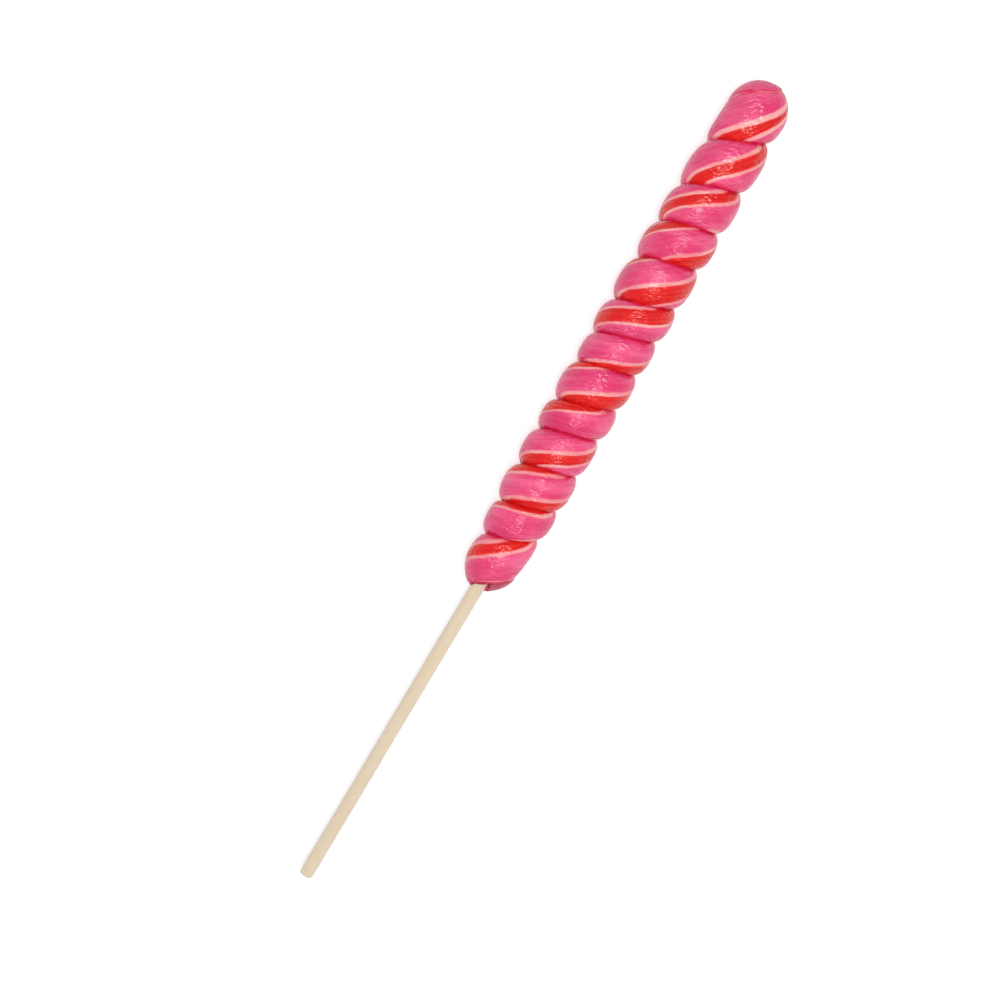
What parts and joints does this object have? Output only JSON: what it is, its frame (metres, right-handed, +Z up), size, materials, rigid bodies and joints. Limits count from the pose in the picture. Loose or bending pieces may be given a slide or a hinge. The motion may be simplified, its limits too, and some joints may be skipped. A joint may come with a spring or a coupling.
{
  "type": "twisted rope lollipop",
  "caption": "Long lollipop made of a thick rope of boiled sugar wound in a tight spiral, its turns striped, on a round wooden stick.",
  "frame": {"origin": "on the surface the lollipop lies on, under the middle of its box", "axes": "+X from the stick to the tip of the candy, +Z up, the side that is looked at, +Y to the left of the candy seen from above with its tip away"},
  "size_m": [0.2947, 0.0225, 0.0219],
  "materials": {
    "boiled_sugar": "glossy boiled sugar in pink, with a red stripe edged in cream",
    "stick_wood": "plain untreated wood"
  },
  "bodies": {
    "root": {"candy": "boiled_sugar", "stick": "stick_wood"}
  },
  "joints": []
}
